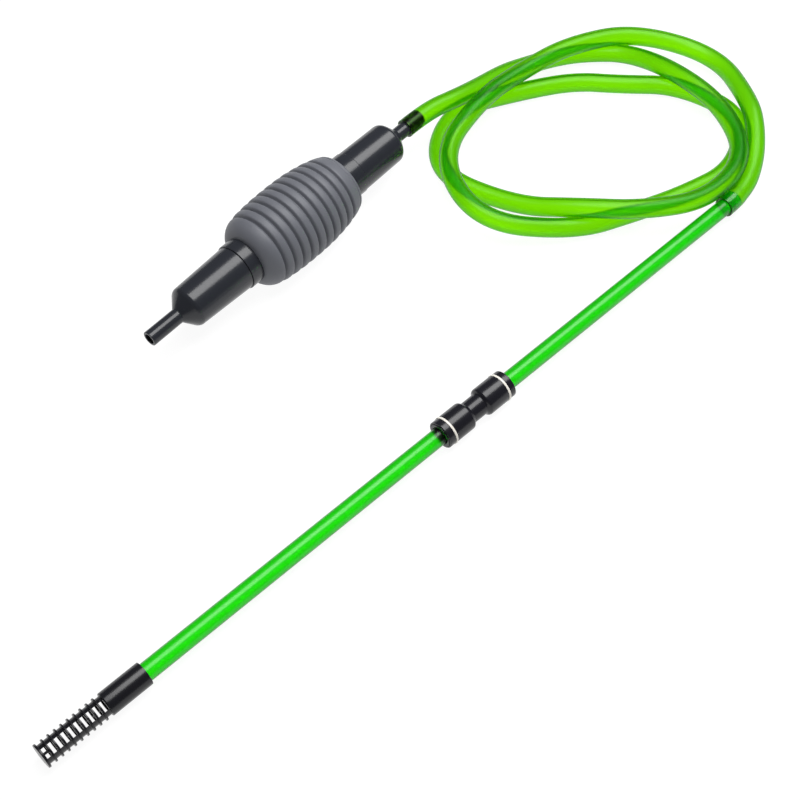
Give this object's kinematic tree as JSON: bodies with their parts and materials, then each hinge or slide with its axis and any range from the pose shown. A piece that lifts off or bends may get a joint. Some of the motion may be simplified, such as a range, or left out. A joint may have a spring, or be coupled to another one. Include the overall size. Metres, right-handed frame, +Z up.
{
  "type": "gravel vacuum siphon",
  "caption": "Gravel vacuum siphon: slotted strainer on a two-part clear wand with a push-in union, a loose coil of soft hose and a squeeze-bulb priming pump with check valves.",
  "frame": {"origin": "on the floor, under the middle of the box round the wand and the pump (the hose is left out of that box)", "axes": "+X along the wand from the strainer to the hose, +Z up, +Y from the wand towards the pump"},
  "size_m": [0.7124, 0.2281, 0.0588],
  "materials": {
    "strainer_black": "semi-gloss moulded plastic, near black",
    "union_black": "semi-gloss moulded plastic, near black",
    "ring_ivory": "semi-gloss ivory plastic",
    "tube_green": "clear rigid tube tinted bright green",
    "hose_lime": "soft clear hose tinted lime green, semi-gloss",
    "bulb_grey": "soft satin rubber, mid grey",
    "pump_charcoal": "semi-gloss moulded plastic, charcoal",
    "valve_plastic": "matte white plastic",
    "valve_rubber": "soft matte rubber, black",
    "seal_rubber": "matte rubber, black",
    "spring_steel": "thin spring steel"
  },
  "bodies": {
    "pump_and_hose": {"rear_housing": "pump_charcoal", "rear_neck": "pump_charcoal", "inlet_valve_seat": "valve_plastic", "inlet_valve_cage": "valve_plastic", "squeeze_bulb": "bulb_grey", "hose_pump_lead": "hose_lime", "hose_coil": "hose_lime", "hose_wand_lead": "hose_lime", "upper_tube": "tube_green"},
    "pump_front": {"front_housing": "pump_charcoal", "front_neck": "pump_charcoal", "outlet_valve_seat": "valve_plastic", "outlet_valve_cage": "valve_plastic"},
    "outlet_disc": {"outlet_valve_disc": "valve_rubber"},
    "inlet_disc": {"inlet_valve_disc": "valve_rubber"},
    "union": {"connector_body": "union_black", "lower_cap": "union_black", "upper_cap": "union_black", "lower_ring": "ring_ivory", "upper_ring": "ring_ivory", "lower_grip_ring": "spring_steel", "upper_grip_ring": "spring_steel", "lower_o_ring": "seal_rubber", "upper_o_ring": "seal_rubber"},
    "lower_release": {"lower_collar": "union_black"},
    "upper_release": {"upper_collar": "union_black"},
    "wand_tube": {"lower_tube": "tube_green"},
    "intake": {"strainer": "strainer_black"}
  },
  "joints": [
    {"name": "bulb_squeeze", "type": "slide", "parent": "pump_and_hose", "child": "pump_front", "axis": [0.9957, 0.0931, 0], "range_m": [0, 0.025], "stiffness_N_per_m": 1200, "deforming": ["squeeze_bulb"]},
    {"name": "outlet_valve_lift", "type": "slide", "parent": "pump_front", "child": "outlet_disc", "axis": [-0.9957, -0.0931, 0], "range_m": [0, 0.003]},
    {"name": "inlet_valve_lift", "type": "slide", "parent": "pump_and_hose", "child": "inlet_disc", "axis": [-0.9957, -0.0931, 0], "range_m": [0, 0.003]},
    {"name": "union_turn", "type": "hinge", "parent": "pump_and_hose", "child": "union", "pos_m": [0.0377, -0.1036, 0.0103], "axis": [1, 0, 0], "continuous": true},
    {"name": "lower_collar_press", "type": "slide", "parent": "union", "child": "lower_release", "axis": [1, 0, 0], "range_m": [0, 0.0014], "stiffness_N_per_m": 2500},
    {"name": "upper_collar_press", "type": "slide", "parent": "union", "child": "upper_release", "axis": [-1, 0, 0], "range_m": [0, 0.0014], "stiffness_N_per_m": 2500},
    {"name": "lower_tube_pull", "type": "slide", "parent": "union", "child": "wand_tube", "axis": [-1, 0, 0], "range_m": [0, 0.022]},
    {"name": "strainer_pull", "type": "slide", "parent": "wand_tube", "child": "intake", "axis": [-1, 0, 0], "range_m": [0, 0.0205]}
  ]
}
